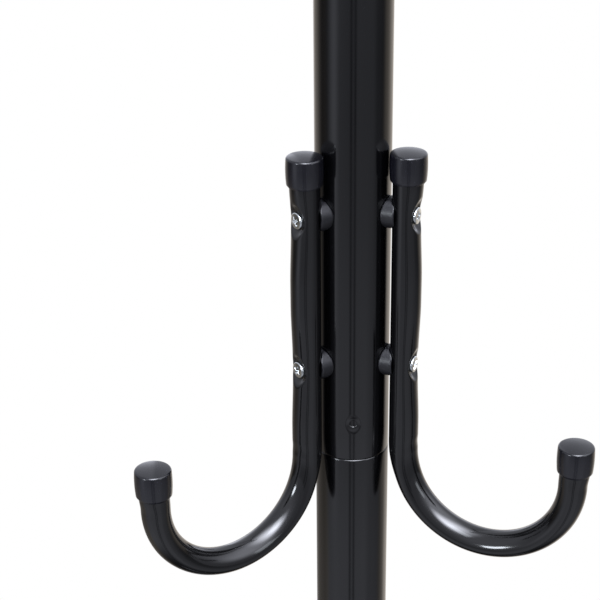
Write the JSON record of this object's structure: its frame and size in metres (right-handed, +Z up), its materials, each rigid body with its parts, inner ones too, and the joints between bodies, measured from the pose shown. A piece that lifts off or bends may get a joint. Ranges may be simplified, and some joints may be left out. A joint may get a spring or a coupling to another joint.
{
  "type": "standing coat rack",
  "caption": "Free-standing coat rack: a black tube pole in slip-jointed lengths on a round weighted base, with tiers of J-shaped tube hooks on saddle spacers.",
  "frame": {"origin": "on the floor, below the pole's axis", "axes": "+Z up along the pole, -Y towards the front, the rear hook of the lower tier along +Y"},
  "size_m": [0.3799, 0.38, 1.764],
  "materials": {
    "black_enamel": "gloss stove enamel",
    "black_vinyl": "satin",
    "black_plastic": "satin",
    "black_rubber": "matte",
    "zinc_steel": "bright zinc",
    "bare_steel": "mill",
    "cast_concrete": "cast"
  },
  "bodies": {
    "stand": {"base_cover": "black_enamel", "base_weight": "cast_concrete", "base_plate": "black_enamel", "base_pads": "black_rubber", "base_bolt": "zinc_steel", "base_washer": "zinc_steel", "pole_foot_plug": "zinc_steel", "pole_lower": "black_enamel"},
    "middle_length": {"pole_middle": "black_enamel", "coupler_lower": "bare_steel"},
    "upper_length": {"pole_upper": "black_enamel", "coupler_upper": "bare_steel", "pole_top_plug": "black_plastic", "hook_low_left": "black_enamel", "stem_cap_low_left": "black_vinyl", "tip_cap_low_left": "black_vinyl", "spacer_high_low_left": "black_plastic", "spacer_low_low_left": "black_plastic", "hook_low_right": "black_enamel", "stem_cap_low_right": "black_vinyl", "tip_cap_low_right": "black_vinyl", "spacer_high_low_right": "black_plastic", "spacer_low_low_right": "black_plastic", "hook_low_rear": "black_enamel", "stem_cap_low_rear": "black_vinyl", "tip_cap_low_rear": "black_vinyl", "spacer_high_low_rear": "black_plastic", "spacer_low_low_rear": "black_plastic", "hook_screws_low": "zinc_steel", "rivet_nuts_low": "zinc_steel", "hook_top_front": "black_enamel", "stem_cap_top_front": "black_vinyl", "tip_cap_top_front": "black_vinyl", "spacer_high_top_front": "black_plastic", "spacer_low_top_front": "black_plastic", "hook_top_rear_right": "black_enamel", "stem_cap_top_rear_right": "black_vinyl", "tip_cap_top_rear_right": "black_vinyl", "spacer_high_top_rear_right": "black_plastic", "spacer_low_top_rear_right": "black_plastic", "hook_top_rear_left": "black_enamel", "stem_cap_top_rear_left": "black_vinyl", "tip_cap_top_rear_left": "black_vinyl", "spacer_high_top_rear_left": "black_plastic", "spacer_low_top_rear_left": "black_plastic", "hook_screws_top": "zinc_steel", "rivet_nuts_top": "zinc_steel"}
  },
  "joints": [
    {"name": "lower_seam_lift", "type": "slide", "parent": "stand", "child": "middle_length", "axis": [0, 0, 1], "range_m": [0, 0.065]},
    {"name": "upper_seam_swivel", "type": "hinge", "parent": "middle_length", "child": "upper_length", "pos_m": [0, 0, 1.18], "axis": [0, 0, 1], "continuous": true}
  ]
}
